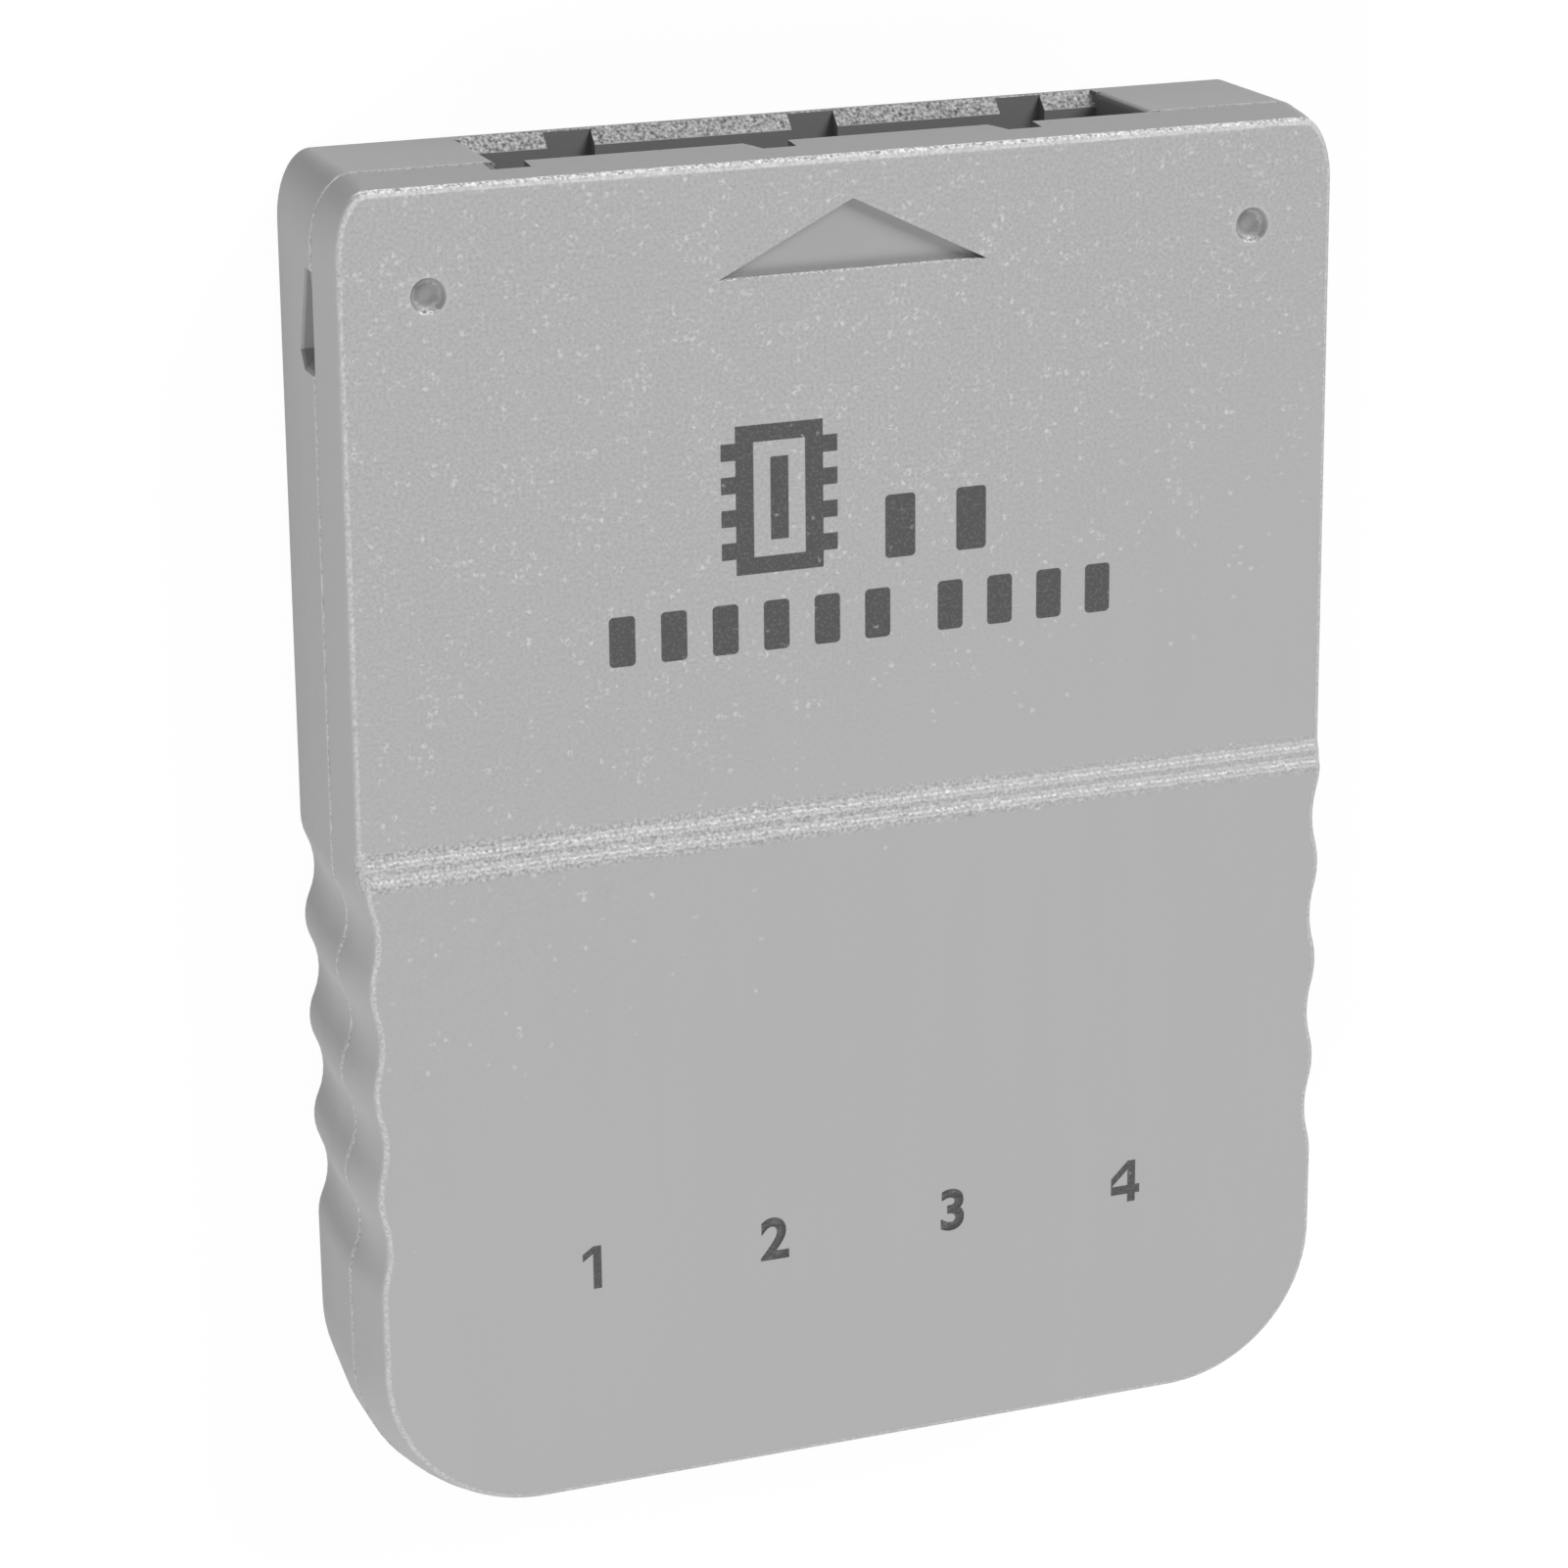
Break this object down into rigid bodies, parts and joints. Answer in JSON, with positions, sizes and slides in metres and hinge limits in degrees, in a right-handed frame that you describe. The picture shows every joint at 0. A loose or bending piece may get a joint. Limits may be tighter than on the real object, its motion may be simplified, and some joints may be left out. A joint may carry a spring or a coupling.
{
  "type": "console memory card",
  "caption": "Flat grey plastic memory card for a games console: two moulded shells with scalloped grip sides, a sunk arrow and a keyed connector mouth around a circuit board.",
  "frame": {"origin": "middle of the flat back face, on which the card lies", "axes": "+Z out of the printed front, +Y toward the connector end, +X to the right of the printed front"},
  "size_m": [0.042, 0.055, 0.009],
  "materials": {
    "shell": "fine spark-textured grey moulded plastic, satin",
    "board": "green solder mask on glass-fibre board",
    "contact": "gold plated",
    "chip": "black moulding compound",
    "lead": "tinned",
    "capacitor": "brown ceramic",
    "resistor": "black glaze on ceramic",
    "lamp": "clear resin"
  },
  "bodies": {
    "root": {"front_shell": "shell", "back_shell": "shell", "circuit_board": "board", "contact_1": "contact", "contact_2": "contact", "contact_3": "contact", "contact_4": "contact", "contact_5": "contact", "contact_6": "contact", "contact_7": "contact", "contact_8": "contact", "controller_body": "chip", "controller_leads": "lead", "memory_body": "chip", "memory_leads": "lead", "capacitor_1": "capacitor", "capacitor_2": "capacitor", "capacitor_3": "capacitor", "resistor_1": "resistor", "resistor_2": "resistor", "resistor_3": "resistor", "resistor_4": "resistor", "page_lamp_1": "lamp", "page_lamp_2": "lamp", "page_lamp_3": "lamp", "page_lamp_4": "lamp"}
  },
  "joints": []
}
